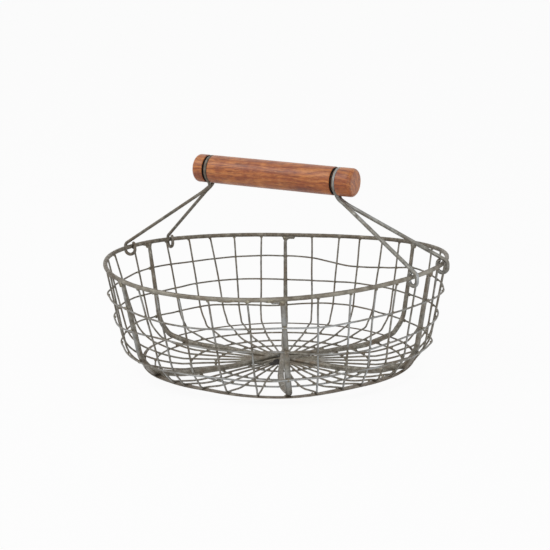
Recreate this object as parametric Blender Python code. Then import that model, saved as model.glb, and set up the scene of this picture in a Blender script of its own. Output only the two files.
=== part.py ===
"""Wire onion basket with a turned wooden grip on two wire bails.

Metres, +Z up. The origin is on the standing surface, under the centre of the rim. The grip
runs along X. The basket is hand made: its hub lies a little off the rim's centre, the rim is
slightly oval and saddle shaped, the uprights lean, the side hoops wave up and down, and the
grip tilts a little.
"""

import math

import bmesh
import bpy
from mathutils import Vector

# Clearances
SEAT_GAP = 0.0003
HOOP_GAP = 0.00045
LOOP_GAP = 0.00035

# Rim
RIM_RADIUS = 0.140
RIM_HEIGHT = 0.0905
RIM_WIRE_RADIUS = 0.0020
RIM_SADDLE = 0.0034
RIM_SADDLE_TURN = 14.0
RIM_OVAL_SHARE = 0.047
RIM_OVAL_TURN = 55.0

# Wall and floor: the outer skin that all upright wires share. The wall runs straight toward a
# corner at the foot radius on the floor, and a wide bend cuts that corner off.
FOOT_RADIUS = 0.1263
WALL_BEND_REACH = 0.0280
FLOOR_BEND_REACH = 0.0430
OVAL_FADE_SHARE = 0.4
HUB_X = 0.0025
HUB_Y = 0.0060

# The foot is warped: how far it stands above a level one, at even turns from +X
FOOT_WARP = 0.0025
WARP_FADE = 3
FOOT_WARP_SHARES = (0.7, 1.3, 1.0, 0.9, 0.9, 0.9, 0.9, 1.3, 0.6, 0.6, -0.2, 1.3)

# Long ribs: three rods from rim to rim, stacked where they cross
RIB_TOP_RADIUS = 0.0017
RIB_FLARE_RADIUS = 0.0025
RIB_FLARE_LENGTH = 0.0035
RIB_FLOOR_RADIUS = 0.0026
RIB_HUB_RADIUS = 0.0017
RIB_RISE_REACH = 0.048
RIB_NAMES = ("rib_under", "rib_between", "rib_over")

# The rib_over rod curls sideways at both ends to lie under the rim
CURL_RADIUS = 0.0045
CURL_LENGTH = 0.0035
CURLED_RIB = "rib_over"

# Uprights: thin wires from the rim to the hub
UPRIGHT_RADIUS = 0.0008
UPRIGHT_END_RADIUS = 0.0140
UPRIGHT_END_BESIDE_RIB_RADIUS = 0.0215
UPRIGHT_FLOOR_RADIUS = 0.0450
WIRES_ROUND = 36
WIRES_PER_SECTOR = 6

# Degrees by which each wire is off its even place, at the rim and at the strip, one row for
# each sector between ribs. The first of each row is the rib.
RIM_LEANS = (
    (3.4, -0.6, 2.8, 1.4, 2.0, 0.4),
    (2.0, -0.4, -2.7, -3.2, -5.0, -4.4),
    (-4.1, -4.7, -3.6, -3.3, -3.8, -3.0),
    (-3.6, -4.9, 0.0, -1.3, -2.2, 0.1),
    (0.0, -0.3, -2.3, -3.5, -3.3, -0.6),
    (0.8, 2.8, 4.6, 4.7, 3.9, 4.7),
)
FOOT_LEANS = (
    (3.6, 1.5, 0.0, -1.5, -3.0, -4.2),
    (-1.0, -1.5, -2.2, -3.1, -3.8, -5.6),
    (-4.3, -3.4, -4.5, -8.4, -7.8, -7.1),
    (-3.4, -8.5, -10.5, -8.5, -6.0, -3.0),
    (0.7, 4.2, 0.0, -1.2, -0.3, 1.5),
    (3.3, 3.8, 4.7, 3.4, 1.9, 2.2),
)

# The same at the hub, one for each long rib; the uprights between them follow evenly
HUB_LEANS = (-7.0, -0.5, -3.0)

# Hoops round the wall, named and placed by height, with their waves at even turns from +X
HOOP_WIRE_RADIUS = 0.0008
HOOP_WAVE = 0.0050
SIDE_HOOPS = {
    "side_hoop_upper": 0.0664,
    "side_hoop_middle": 0.0451,
    "side_hoop_lower": 0.0226,
}
HOOP_WAVE_SHARES = {
    "side_hoop_upper": (-0.04, -0.28, -0.28, -0.16, 0.30, -0.48, -0.80, 0.42, 0.84, 0.76, 0.44, 0.30,
                        0.22, -0.22, -0.32, -0.36, 0.16, -0.14, -0.40, -0.10, 0.02, -0.32, -0.14, -0.04),
    "side_hoop_middle": (-0.54, -0.42, -0.34, -0.26, -0.20, 0.14, 0.30, 0.32, 0.56, 0.70, 0.62, 0.18,
                         0.20, 0.36, 0.08, -0.12, 0.48, 0.98, 0.70, 0.34, 0.24, -0.72, -1.16, -0.70),
    "side_hoop_lower": (-0.20, -0.12, -0.42, -0.56, -0.40, -0.08, 0.48, 0.38, -0.14, 0.24, 0.68, 0.40,
                        0.52, 0.64, 0.08, -0.40, -0.32, -0.26, -0.08, -0.12, -0.08, 0.02, 0.10, -0.04),
}

# Hoops under the floor wires, placed by radius: the basket stands on the inner three
FLOOR_HOOPS = {
    "floor_hoop_outer": 0.1020,
    "floor_hoop_middle": 0.0770,
    "floor_hoop_inner": 0.0565,
    "hub_hoop": 0.0310,
}
FLOOR_HOOP_STEPS = {
    "floor_hoop_outer": 48,
    "floor_hoop_middle": 38,
    "floor_hoop_inner": 28,
    "hub_hoop": 18,
}

# Flat strip under the bend at the foot of the wall, placed by its inner radius
STRIP_RADIUS = 0.1120
STRIP_WIDTH = 0.0036
STRIP_THICKNESS = 0.0010
STRIP_SLOPE = 12.0

# Grip
GRIP_RADIUS = 0.0120
GRIP_LENGTH = 0.1520
GRIP_SHIFT = -0.0049
GRIP_HEIGHT = 0.1628
GRIP_TILT = 1.2
GRIP_END_ROUND = 0.0032
GROOVE_OFFSET = 0.0620
GROOVE_WIDTH = 0.0050
GROOVE_CHAMFER = 0.0004

# Bails: one wire each, looped round the grip, with a hook over the rim at both ends
BAIL_WIRE_RADIUS = 0.0014
BAIL_NECK_LENGTH = 0.0090
BAIL_NECK_DROP = 0.0022
BAIL_SOFTENING = 0.0030
FRONT_HOOK_SPREAD = 0.0250
BACK_HOOK_SPREAD = 0.0295
HOOK_ROOM = 0.0007
HOOK_SLACK = 0.0030
HOOK_TIP_TURN = 134.0
LOOP_OPENING_TURN = 38.0

FLOOR_SKIN = 2 * HOOP_WIRE_RADIUS + SEAT_GAP
LOOP_RADIUS = GRIP_RADIUS - BAIL_WIRE_RADIUS
GROOVE_RADIUS = LOOP_RADIUS - BAIL_WIRE_RADIUS - LOOP_GAP
HOOK_RADIUS = RIM_WIRE_RADIUS + BAIL_WIRE_RADIUS + LOOP_GAP + HOOK_ROOM

# Facets
WALL_STEPS = 4
BEND_STEPS = 6
RIB_FLOOR_SHARES = (0.79, 0.60, 0.43, 0.28, 0.15, 0.055)
HOOP_STEPS = 60
RIM_STEPS = 64
GRIP_SIDES = 28
ARC_STEPS = 7
CURL_STEPS = 3
LOOP_STEPS = 18
SOFT_SHARES = (0, 0.33, 0.67, 1)


def clear_scene():
    for old in list(bpy.data.objects):
        bpy.data.objects.remove(old, do_unlink=True)


def make_material(name, colour, roughness, metallic):
    material = bpy.data.materials.new(name)
    material.use_nodes = True
    shader = material.node_tree.nodes["Principled BSDF"]
    shader.inputs["Base Color"].default_value = (*colour, 1)
    shader.inputs["Roughness"].default_value = roughness
    shader.inputs["Metallic"].default_value = metallic
    material.diffuse_color = (*colour, 1)
    return material


def unit(turn):
    angle = math.radians(turn)
    return Vector((math.cos(angle), math.sin(angle)))


# The outer skin

def mix(start, end, share):
    return start + (end - start) * share


def skin_profile():
    """Skin as (radius, height) points from the rim down to the start of the floor."""
    top = Vector((RIM_RADIUS + UPRIGHT_RADIUS, RIM_HEIGHT))
    corner = Vector((FOOT_RADIUS, FLOOR_SKIN))
    start = top.lerp(corner, 1 - WALL_BEND_REACH / (RIM_HEIGHT - FLOOR_SKIN))
    end = Vector((FOOT_RADIUS - FLOOR_BEND_REACH, FLOOR_SKIN))
    points = [top.lerp(start, i / WALL_STEPS) for i in range(WALL_STEPS + 1)]
    for i in range(BEND_STEPS):
        share = (i + 1) / BEND_STEPS
        points.append(start.lerp(corner, share).lerp(corner.lerp(end, share), share))
    return points


def skin_at(value, is_radius):
    """Skin point at a radius or at a height, and its unit normal out of the basket."""
    points = skin_profile() + [Vector((0, FLOOR_SKIN))]
    for outer, inner in zip(points, points[1:]):
        start, end = (outer.x, inner.x) if is_radius else (outer.y, inner.y)
        if end <= value <= start and start > end:
            run = (inner - outer).normalized()
            return outer.lerp(inner, (start - value) / (start - end)), Vector((-run.y, run.x))
    raise ValueError("the skin does not reach this value")


def climb(height):
    """0 on the floor, 1 at the rim: how much of the rim's saddle and of the leans applies."""
    return min(max((height - FLOOR_SKIN) / (RIM_HEIGHT - FLOOR_SKIN), 0), 1)


def place(turn, radius, height):
    """Skin coordinates to a point in space."""
    rise = climb(height)
    oval = RIM_OVAL_SHARE * math.cos(math.radians(2 * (turn - RIM_OVAL_TURN))) * rise**OVAL_FADE_SHARE
    saddle = RIM_SADDLE * math.cos(math.radians(2 * (turn - RIM_SADDLE_TURN))) * rise
    inward = max(0, 1 - radius / FOOT_RADIUS)
    flat = unit(turn) * radius * (1 + oval) + Vector((HUB_X, HUB_Y)) * inward
    floor_radius = FOOT_RADIUS - FLOOR_BEND_REACH
    out = min(max((radius - floor_radius) / (STRIP_RADIUS - floor_radius), 0), 1)
    warp = FOOT_WARP * from_ring(FOOT_WARP_SHARES, turn) * out * (1 - rise)**WARP_FADE
    return Vector((flat.x, flat.y, height + saddle + warp))


def from_ring(values, turn):
    """Smooth value at a turn from values at even turns round the basket."""
    spot = turn / 360 * len(values)
    first = math.floor(spot)
    share = spot - first
    before, start, end, after = [values[(first + i) % len(values)] for i in (-1, 0, 1, 2)]
    bend = 2 * before - 5 * start + 4 * end - after
    twist = 3 * (start - end) + after - before
    return start + share / 2 * (end - before + share * (bend + share * twist))


def wire_turn(wire, radius, height):
    """Turn of one of the wires, counted from +X, where it passes a radius and a height."""
    sector, i = divmod(wire, WIRES_PER_SECTOR)
    ribs = len(RIB_NAMES)
    hub = mix(HUB_LEANS[sector % ribs], HUB_LEANS[(sector + 1) % ribs], i / WIRES_PER_SECTOR)
    out = min(1, radius / STRIP_RADIUS)
    lean = mix(hub, FOOT_LEANS[sector][i], out * out)
    return 360 * wire / WIRES_ROUND + mix(lean, RIM_LEANS[sector][i], climb(height))


# Making objects

def loft(name, rings, material, wrap=False):
    """Mesh through rings of points, either closed on itself or capped at both ends."""
    mesh = bpy.data.meshes.new(name)
    solid = bmesh.new()
    rows = [[solid.verts.new(point) for point in ring] for ring in rings]
    pairs = list(zip(rows, rows[1:])) + ([(rows[-1], rows[0])] if wrap else [])
    for row, following in pairs:
        for i in range(len(row)):
            j = (i + 1) % len(row)
            solid.faces.new((row[i], row[j], following[j], following[i]))
    if not wrap:
        solid.faces.new(rows[0][::-1])
        solid.faces.new(rows[-1])
    bmesh.ops.recalc_face_normals(solid, faces=solid.faces)
    solid.to_mesh(mesh)
    solid.free()
    mesh.shade_smooth()
    mesh.set_sharp_from_angle(angle=math.radians(40))
    mesh.materials.append(material)
    part = bpy.data.objects.new(name, mesh)
    bpy.context.scene.collection.objects.link(part)
    return part


def rod(name, points, radii, material, resolution, origin=Vector((0, 0, 0))):
    """Round wire along points, with its own radius at each point."""
    curve = bpy.data.curves.new(name, "CURVE")
    curve.dimensions = "3D"
    curve.bevel_depth = max(radii)
    curve.bevel_resolution = resolution
    curve.render_resolution_u = 0
    curve.use_fill_caps = True
    spline = curve.splines.new("POLY")
    spline.points.add(len(points) - 1)
    for knot, point, radius in zip(spline.points, points, radii):
        knot.co = (*(point - origin), 1)
        knot.radius = radius / curve.bevel_depth
    curve.materials.append(material)
    part = bpy.data.objects.new(name, curve)
    part.location = origin
    bpy.context.scene.collection.objects.link(part)
    return part


def hoop(name, section_at, steps, material):
    """Ring round the basket whose section at a turn is a list of (radius, height) points."""
    rings = []
    for i in range(steps):
        turn = 360 * i / steps
        rings.append([place(turn, point.x, point.y) for point in section_at(turn)])
    return loft(name, rings, material, wrap=True)


def round_section(centre, radius, sides):
    """Polygon with a flat side at the bottom."""
    points = []
    for i in range(sides):
        angle = 2 * math.pi * (i + 0.5) / sides - math.pi / 2
        reach = radius / math.cos(math.pi / sides)
        points.append(centre + Vector((math.cos(angle), math.sin(angle))) * reach)
    return points


# The basket

def make_rim(material):
    section = round_section(Vector((RIM_RADIUS, RIM_HEIGHT)), RIM_WIRE_RADIUS, 8)
    hoop("rim_hoop", lambda turn: section, RIM_STEPS, material)


def outside_skin(value, is_radius):
    """Centre of a hoop wire just outside the skin."""
    point, out = skin_at(value, is_radius)
    return point + out * (HOOP_GAP + HOOP_WIRE_RADIUS)


def make_side_hoops(material):
    for name, height in SIDE_HOOPS.items():
        def section_at(turn, name=name, height=height):
            wave = HOOP_WAVE * from_ring(HOOP_WAVE_SHARES[name], turn)
            return round_section(outside_skin(height + wave, False), HOOP_WIRE_RADIUS, 6)
        hoop(name, section_at, HOOP_STEPS, material)


def make_floor_hoops(material):
    for name, radius in FLOOR_HOOPS.items():
        centre = Vector((radius, HOOP_WIRE_RADIUS))
        if radius > FOOT_RADIUS - FLOOR_BEND_REACH:
            centre = outside_skin(radius, True)
        section = round_section(centre, HOOP_WIRE_RADIUS, 6)
        hoop(name, lambda turn, section=section: section, FLOOR_HOOP_STEPS[name], material)


def make_strip(material):
    """Flat strip that slopes down outward, its inner edge against the bends."""
    along = unit(-STRIP_SLOPE)
    square = Vector((-along.y, along.x))
    skin, _ = skin_at(STRIP_RADIUS, True)
    top = skin - Vector((0, HOOP_GAP))
    bottom = top - square * STRIP_THICKNESS
    edge = along * STRIP_WIDTH
    section = [bottom, bottom + edge, top + edge, top]
    hoop("foot_strip", lambda turn: section, HOOP_STEPS, material)


def offset_profile(radius_at):
    """Centre line of a wire of changing radius that lies inside the skin."""
    skin = skin_profile()
    points = []
    for i, point in enumerate(skin):
        before = skin[max(i - 1, 0)]
        after = skin[min(i + 1, len(skin) - 1)]
        run = (after - before).normalized()
        if i == len(skin) - 1:
            run = Vector((-1, 0))
        inward = Vector((run.y, -run.x))
        radius = radius_at(i / (len(skin) - 1))
        points.append((point + inward * radius, radius))
    return points


def drop_from_rim(profile, clearance):
    """The profile with its top end lowered to a height under the rim wire."""
    (first, radius), (second, _) = profile[0], profile[1]
    top = RIM_HEIGHT - RIM_WIRE_RADIUS - clearance
    share = (first.y - top) / (first.y - second.y)
    return [(first.lerp(second, share), radius)] + profile[1:]


def make_upright(name, wire, end_radius, material):
    profile = drop_from_rim(offset_profile(lambda share: UPRIGHT_RADIUS), SEAT_GAP)
    for radius in (UPRIGHT_FLOOR_RADIUS, end_radius):
        profile.append((Vector((radius, FLOOR_SKIN + UPRIGHT_RADIUS)), UPRIGHT_RADIUS))
    points = [place(wire_turn(wire, p.x, p.y), p.x, p.y) for p, _ in profile]
    rod(name, points, [radius for _, radius in profile], material, 1)


def flared_top(profile):
    """Profile of a rib with a thicker end butted under the rim."""
    (top, _), (second, _) = profile[0], profile[1]
    neck = top.lerp(second, RIB_FLARE_LENGTH / (top - second).length)
    return [(top, RIB_FLARE_RADIUS, 0), (neck, RIB_TOP_RADIUS, 0)]


def curled_top(profile):
    """Profile of a rib that curls along under the rim, with how far each point is along it."""
    (top, _), (second, _) = profile[0], profile[1]
    points = []
    for i in range(CURL_STEPS + 1):
        angle = math.pi / 2 * i / CURL_STEPS
        drop = RIB_TOP_RADIUS + CURL_RADIUS * (1 - math.cos(angle))
        aside = CURL_RADIUS * (1 - math.sin(angle))
        spot = top.lerp(second, drop / (top.y - second.y))
        points.append((spot, RIB_TOP_RADIUS, aside))
    end, radius, aside = points[0]
    return [(end, radius, aside + CURL_LENGTH)] + points


def rib_half(wire, level):
    """Points and radii of a rib from the rim to just short of the hub."""
    profile = offset_profile(lambda share: mix(RIB_TOP_RADIUS, RIB_FLOOR_RADIUS, share))
    profile = drop_from_rim(profile, SEAT_GAP)
    shape_top = curled_top if RIB_NAMES[level] == CURLED_RIB else flared_top
    rows = shape_top(profile) + [(point, radius, 0) for point, radius in profile[1:]]
    step = 2 * RIB_HUB_RADIUS + HOOP_GAP
    start = FOOT_RADIUS - FLOOR_BEND_REACH
    for share in RIB_FLOOR_SHARES:
        radius = start * share
        thickness = mix(RIB_HUB_RADIUS, RIB_FLOOR_RADIUS, share)
        near = max(0, 1 - radius / RIB_RISE_REACH)
        rise = level * step * near * near * (3 - 2 * near)
        rows.append((Vector((radius, FLOOR_SKIN + thickness + rise)), thickness, 0))
    points = []
    for spot, _, aside in rows:
        turn = wire_turn(wire, spot.x, spot.y) - math.degrees(aside / RIM_RADIUS)
        points.append(place(turn, spot.x, spot.y))
    return points, [radius for _, radius, _ in rows]


def make_rib(level, material):
    wire = level * WIRES_PER_SECTOR
    first, first_radii = rib_half(wire, level)
    second, second_radii = rib_half(wire + WIRES_ROUND // 2, level)
    height = FLOOR_SKIN + RIB_HUB_RADIUS + level * (2 * RIB_HUB_RADIUS + HOOP_GAP)
    middle = Vector((HUB_X, HUB_Y, height))
    points = first + [middle] + second[::-1]
    radii = first_radii + [RIB_HUB_RADIUS] + second_radii[::-1]
    rod(RIB_NAMES[level], points, radii, material, 2)


def make_uprights(material):
    number = 0
    for wire in range(WIRES_ROUND):
        i = wire % WIRES_PER_SECTOR
        if i == 0:
            continue
        number += 1
        beside_rib = i in (1, WIRES_PER_SECTOR - 1)
        end_radius = UPRIGHT_END_BESIDE_RIB_RADIUS if beside_rib else UPRIGHT_END_RADIUS
        make_upright(f"upright_{number:02d}", wire, end_radius, material)


# The handle

def soften(points, reach):
    """Round the corners of a line of points."""
    soft = [points[0]]
    for before, corner, after in zip(points, points[1:], points[2:]):
        start = corner + (before - corner).normalized() * reach
        end = corner + (after - corner).normalized() * reach
        for share in SOFT_SHARES:
            soft.append(start.lerp(corner, share).lerp(corner.lerp(end, share), share))
    return soft + [points[-1]]


def handle_point(along, across, up):
    """Point given along the tilted grip, across it and up from its middle."""
    tilt = math.radians(GRIP_TILT)
    x = GRIP_SHIFT + along * math.cos(tilt) + up * math.sin(tilt)
    z = GRIP_HEIGHT - along * math.sin(tilt) + up * math.cos(tilt)
    return Vector((x, HUB_Y + across, z))


def rim_point(across, side):
    """Centre of the rim wire at a distance across the handle's plane, on one side in X."""
    turn = 0 if side > 0 else 180
    for _ in range(8):
        point = place(turn, RIM_RADIUS, RIM_HEIGHT)
        turn += side * math.degrees((HUB_Y + across - point.y) / RIM_RADIUS)
    return place(turn, RIM_RADIUS, RIM_HEIGHT)


def hook_points(spread_point, rim):
    """Hook from its tip round the rim to where the leg leaves it, slack below the rim."""
    outward = Vector((rim.x - spread_point.x, rim.y - spread_point.y, 0)).normalized()
    up = Vector((0, 0, 1))
    centre = rim + outward * HOOK_ROOM
    distance = (centre - spread_point).dot(outward)
    drop = spread_point.z - centre.z
    slope = math.atan2(drop, distance) + math.asin(HOOK_RADIUS / math.hypot(drop, distance))
    leave = 90 - math.degrees(slope)
    low = -HOOK_SLACK
    flat = []
    for i in range(3):
        flat.append((mix(HOOK_TIP_TURN, 170, i / 2), 0))
    for i in range(ARC_STEPS + 1):
        flat.append((mix(180, 360, i / ARC_STEPS), low))
    for i in range(3):
        flat.append((mix(0, leave, i / 2), 0))
    points = []
    for turn, shift in flat:
        spot = unit(turn) * HOOK_RADIUS
        points.append(centre + outward * spot.x + up * (spot.y + shift))
    return points


def leg_points(side, across):
    """From a hook's tip up the leg to the end of the loop under the grip."""
    groove = side * GROOVE_OFFSET
    beside = BAIL_WIRE_RADIUS + SEAT_GAP / 2
    neck = handle_point(groove, math.copysign(beside, across), -GRIP_RADIUS - BAIL_NECK_DROP)
    rim = rim_point(across, side)
    run = Vector((rim.x - neck.x, 0, rim.z - neck.z)).normalized()
    spread = neck + run * BAIL_NECK_LENGTH
    hook = hook_points(spread, rim)
    spot = unit(-90 + LOOP_OPENING_TURN) * LOOP_RADIUS
    loop_end = handle_point(groove, math.copysign(spot.x, across), spot.y)
    return hook[:-1] + soften([hook[-1], spread, neck, loop_end], BAIL_SOFTENING)


def make_bail(name, side, material):
    front = leg_points(side, -FRONT_HOOK_SPREAD)
    back = leg_points(side, BACK_HOOK_SPREAD)
    groove = side * GROOVE_OFFSET
    loop = []
    for i in range(1, LOOP_STEPS):
        turn = mix(LOOP_OPENING_TURN, 360 - LOOP_OPENING_TURN, i / LOOP_STEPS)
        spot = unit(-90 - turn) * LOOP_RADIUS
        loop.append(handle_point(groove, spot.x, spot.y))
    points = front + loop + back[::-1]
    rod(name, points, [BAIL_WIRE_RADIUS] * len(points), material, 2, handle_point(groove, 0, 0))


def grip_profile():
    """(place along the grip, radius) from the middle to the right end."""
    near = GROOVE_OFFSET - GROOVE_WIDTH / 2
    far = GROOVE_OFFSET + GROOVE_WIDTH / 2
    points = [
        (near - GROOVE_CHAMFER, GRIP_RADIUS),
        (near, GRIP_RADIUS - GROOVE_CHAMFER),
        (near, GROOVE_RADIUS),
        (far, GROOVE_RADIUS),
        (far, GRIP_RADIUS - GROOVE_CHAMFER),
        (far + GROOVE_CHAMFER, GRIP_RADIUS),
    ]
    for turn in (90, 67.5, 45, 22.5, 0):
        spot = unit(turn) * GRIP_END_ROUND
        points.append((GRIP_LENGTH / 2 - GRIP_END_ROUND + spot.x, GRIP_RADIUS - GRIP_END_ROUND + spot.y))
    return points


def make_grip(material):
    half = grip_profile()
    whole = [(-x, radius) for x, radius in half[::-1]] + half
    middle = handle_point(0, 0, 0)
    rings = []
    for x, radius in whole:
        spots = [unit(360 * i / GRIP_SIDES) * radius for i in range(GRIP_SIDES)]
        rings.append([handle_point(x, spot.x, spot.y) - middle for spot in spots])
    grip = loft("wooden_grip", rings, material)
    grip.location = middle


def main():
    clear_scene()
    wire = make_material("galvanised wire", (0.19, 0.17, 0.14), 0.5, 0.8)
    rib = make_material("heavy rod", (0.17, 0.15, 0.12), 0.55, 0.8)
    bail = make_material("bail wire", (0.24, 0.22, 0.18), 0.45, 0.85)
    wood = make_material("turned wood", (0.33, 0.10, 0.035), 0.4, 0)
    make_rim(rib)
    make_side_hoops(wire)
    make_floor_hoops(wire)
    make_strip(wire)
    for level in range(len(RIB_NAMES)):
        make_rib(level, rib)
    make_uprights(wire)
    make_bail("left_bail", -1, bail)
    make_bail("right_bail", 1, bail)
    make_grip(wood)


main()
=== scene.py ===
"""Looks of the wire onion basket: fine wires, solder, aged zinc and varnished wood."""

import math

import bpy
import bmesh
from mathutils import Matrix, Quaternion, Vector, noise


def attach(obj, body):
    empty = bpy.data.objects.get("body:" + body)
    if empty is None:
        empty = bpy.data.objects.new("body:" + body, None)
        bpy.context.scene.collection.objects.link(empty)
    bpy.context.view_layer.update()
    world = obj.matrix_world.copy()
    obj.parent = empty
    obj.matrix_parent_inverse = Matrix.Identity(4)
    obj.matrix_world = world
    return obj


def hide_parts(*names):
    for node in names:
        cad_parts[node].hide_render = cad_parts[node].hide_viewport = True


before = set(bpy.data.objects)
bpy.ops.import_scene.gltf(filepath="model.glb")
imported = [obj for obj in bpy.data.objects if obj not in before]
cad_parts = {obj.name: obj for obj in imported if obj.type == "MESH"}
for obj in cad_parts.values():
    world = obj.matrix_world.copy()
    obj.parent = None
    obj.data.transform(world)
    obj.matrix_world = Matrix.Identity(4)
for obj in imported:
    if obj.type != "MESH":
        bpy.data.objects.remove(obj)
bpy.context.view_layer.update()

# Sizes in metres and degrees, as in the CAD model but for FOOT_WARP_SHARES and the fineness of
# the meshes

# Clearances
SEAT_GAP = 0.0003
HOOP_GAP = 0.00045
LOOP_GAP = 0.00035

# Rim
RIM_RADIUS = 0.140
RIM_HEIGHT = 0.0905
RIM_WIRE_RADIUS = 0.0020
RIM_SADDLE = 0.0034
RIM_SADDLE_TURN = 14.0
RIM_OVAL_SHARE = 0.047
RIM_OVAL_TURN = 55.0

# Wall and floor: the outer skin that all upright wires share. The wall runs straight toward a
# corner at the foot radius on the floor, and a wide bend cuts that corner off.
FOOT_RADIUS = 0.1263
WALL_BEND_REACH = 0.0280
FLOOR_BEND_REACH = 0.0430
OVAL_FADE_SHARE = 0.4
HUB_X = 0.0025
HUB_Y = 0.0060

# The foot is warped: how far it stands above a level one, at even turns from +X
FOOT_WARP = 0.0025
WARP_FADE = 3
FOOT_WARP_SHARES = (0.90, 1.3, 1.0, 0.9, 0.9, 0.9, 0.9, 1.3, 0.6, 0.5, -0.35, 0.65)

# Long ribs: three rods from rim to rim, stacked where they cross
RIB_TOP_RADIUS = 0.0017
RIB_FLARE_RADIUS = 0.0025
RIB_FLARE_LENGTH = 0.0035
RIB_FLOOR_RADIUS = 0.0026
RIB_HUB_RADIUS = 0.0017
RIB_RISE_REACH = 0.048
RIB_NAMES = ("rib_under", "rib_between", "rib_over")

# The rib_over rod curls sideways at both ends to lie under the rim
CURL_RADIUS = 0.0045
CURL_LENGTH = 0.0035
CURLED_RIB = "rib_over"

# Uprights: thin wires from the rim to the hub
UPRIGHT_RADIUS = 0.0008
UPRIGHT_END_RADIUS = 0.0140
UPRIGHT_END_BESIDE_RIB_RADIUS = 0.0215
WIRES_ROUND = 36
WIRES_PER_SECTOR = 6

# Degrees by which each wire is off its even place, at the rim and at the strip, one row for
# each sector between ribs. The first of each row is the rib.
RIM_LEANS = (
    (3.4, -0.6, 2.8, 1.4, 2.0, 0.4),
    (2.0, -0.4, -2.7, -3.2, -5.0, -4.4),
    (-4.1, -4.7, -3.6, -3.3, -3.8, -3.0),
    (-3.6, -4.9, 0.0, -1.3, -2.2, 0.1),
    (0.0, -0.3, -2.3, -3.5, -3.3, -0.6),
    (0.8, 2.8, 4.6, 4.7, 3.9, 4.7),
)
FOOT_LEANS = (
    (3.6, 1.5, 0.0, -1.5, -3.0, -4.2),
    (-1.0, -1.5, -2.2, -3.1, -3.8, -5.6),
    (-4.3, -3.4, -4.5, -8.4, -7.8, -7.1),
    (-3.4, -8.5, -10.5, -8.5, -6.0, -3.0),
    (0.7, 4.2, 0.0, -1.2, -0.3, 1.5),
    (3.3, 3.8, 4.7, 3.4, 1.9, 2.2),
)

# The same at the hub, one for each long rib; the uprights between them follow evenly
HUB_LEANS = (-7.0, -0.5, -3.0)

# Hoops round the wall, named and placed by height, with their waves at even turns from +X
HOOP_WIRE_RADIUS = 0.0008
HOOP_WAVE = 0.0050
SIDE_HOOPS = {
    "side_hoop_upper": 0.0664,
    "side_hoop_middle": 0.0451,
    "side_hoop_lower": 0.0226,
}
HOOP_WAVE_SHARES = {
    "side_hoop_upper": (
        -0.04, -0.28, -0.28, -0.16, 0.30, -0.48, -0.80, 0.42, 0.84, 0.76, 0.44, 0.30,
        0.22, -0.22, -0.32, -0.36, 0.16, -0.14, -0.40, -0.10, 0.02, -0.32, -0.14, -0.04),
    "side_hoop_middle": (
        -0.54, -0.42, -0.34, -0.26, -0.20, 0.14, 0.30, 0.32, 0.56, 0.70, 0.62, 0.18,
        0.20, 0.36, 0.08, -0.12, 0.48, 0.98, 0.70, 0.34, 0.24, -0.72, -1.16, -0.70),
    "side_hoop_lower": (
        -0.20, -0.12, -0.42, -0.56, -0.40, -0.08, 0.48, 0.38, -0.14, 0.24, 0.68, 0.40,
        0.52, 0.64, 0.08, -0.40, -0.32, -0.26, -0.08, -0.12, -0.08, 0.02, 0.10, -0.04),
}

# Hoops under the floor wires, placed by radius: the basket stands on the inner three
FLOOR_HOOPS = {
    "floor_hoop_outer": 0.1020,
    "floor_hoop_middle": 0.0770,
    "floor_hoop_inner": 0.0565,
    "hub_hoop": 0.0310,
}

# Flat strip under the bend at the foot of the wall, placed by its inner radius
STRIP_RADIUS = 0.1120
STRIP_WIDTH = 0.0036
STRIP_SLOPE = 12.0

# Grip
GRIP_RADIUS = 0.0120
GRIP_LENGTH = 0.1520
GRIP_SHIFT = -0.0049
GRIP_HEIGHT = 0.1628
GRIP_TILT = 1.2
GRIP_END_ROUND = 0.0032
GROOVE_OFFSET = 0.0620
GROOVE_WIDTH = 0.0050
GROOVE_CHAMFER = 0.0004

# Bails: one wire each, looped round the grip, with a hook over the rim at both ends
BAIL_WIRE_RADIUS = 0.0014
BAIL_NECK_LENGTH = 0.0090
BAIL_NECK_DROP = 0.0022
BAIL_SOFTENING = 0.0030
FRONT_HOOK_SPREAD = 0.0250
BACK_HOOK_SPREAD = 0.0295
HOOK_ROOM = 0.0007
HOOK_SLACK = 0.0030
HOOK_TIP_TURN = 134.0
LOOP_OPENING_TURN = 38.0

FLOOR_SKIN = 2 * HOOP_WIRE_RADIUS + SEAT_GAP
RIB_STEP = 2 * RIB_HUB_RADIUS + HOOP_GAP
LOOP_RADIUS = GRIP_RADIUS - BAIL_WIRE_RADIUS
GROOVE_RADIUS = LOOP_RADIUS - BAIL_WIRE_RADIUS - LOOP_GAP
HOOK_RADIUS = RIM_WIRE_RADIUS + BAIL_WIRE_RADIUS + LOOP_GAP + HOOK_ROOM

# Fineness of the meshes
WALL_STEPS = 24
BEND_STEPS = 20
UPRIGHT_FLOOR_STEPS = 18
RIB_FLOOR_STEPS = 30
RIB_STEPS_BUNCHING = 1.2
HOOP_STEPS = 360
HOOP_TURNS = [360 * i / HOOP_STEPS for i in range(HOOP_STEPS)]
CURL_STEPS = 8
FLARE_STEPS = 4
STRIP_SIDES = 20
SOFT_STEPS = 8
HOOK_STEPS = 6
LOOP_STEPS = 40
BAIL_STEP = 0.0012
WIRE_SIDES = 12
ROD_SIDES = 20
GRIP_SIDES = 96
HUB_SOLDER_COLUMNS = 8 * WIRES_ROUND
HUB_SOLDER_ROWS = 12
SHARP_ANGLE = 50

# What follows, down to the studio, is seen in the photograph and isn't in the CAD model.

# The foot is stretched mostly one way, which straightens the wall above the strip there, with
# its shares at even turns from +X
FOOT_STRETCH = 0.075
FOOT_STRETCH_SHARES = (0.15, 0.1, 0.26, 0.77, 1.0, 0.73, 0.23, 0.0, 0.45, 0.6, 1.05, 0.72)
STRETCH_FADE = 8

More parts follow.
